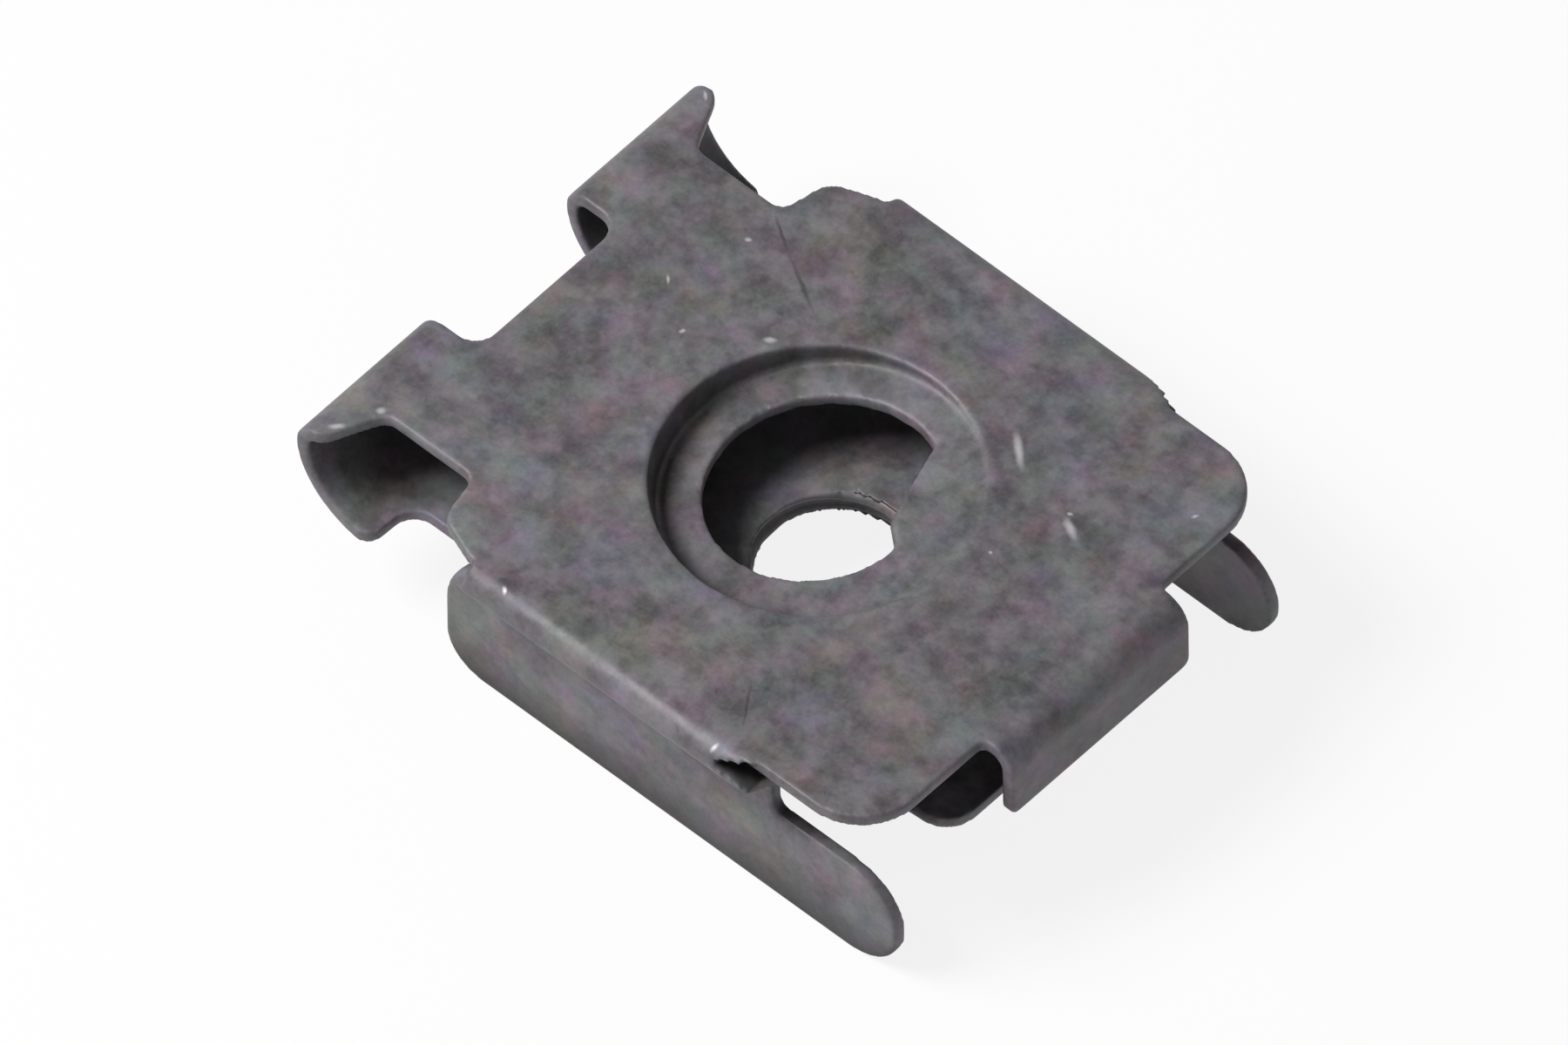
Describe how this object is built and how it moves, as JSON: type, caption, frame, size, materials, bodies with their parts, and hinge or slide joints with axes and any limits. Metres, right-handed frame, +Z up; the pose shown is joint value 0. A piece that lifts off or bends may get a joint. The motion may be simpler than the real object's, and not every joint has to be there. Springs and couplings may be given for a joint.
{
  "type": "u clip speed nut",
  "caption": "Folded spring-steel U-clip nut: dished clearance hole over a tapped collar, side wings with free fingers, and a front lip.",
  "frame": {"origin": "on the screw axis, at the upper face of the lower leg, where the clipped panel seats", "axes": "+Z up through the upper leg, +X from the fold to the mouth"},
  "size_m": [0.0259, 0.0206, 0.0072],
  "materials": {
    "phosphated_steel": "matt dark grey phosphate over spring steel"
  },
  "bodies": {
    "root": {"clip_nut": "phosphated_steel"}
  },
  "joints": []
}
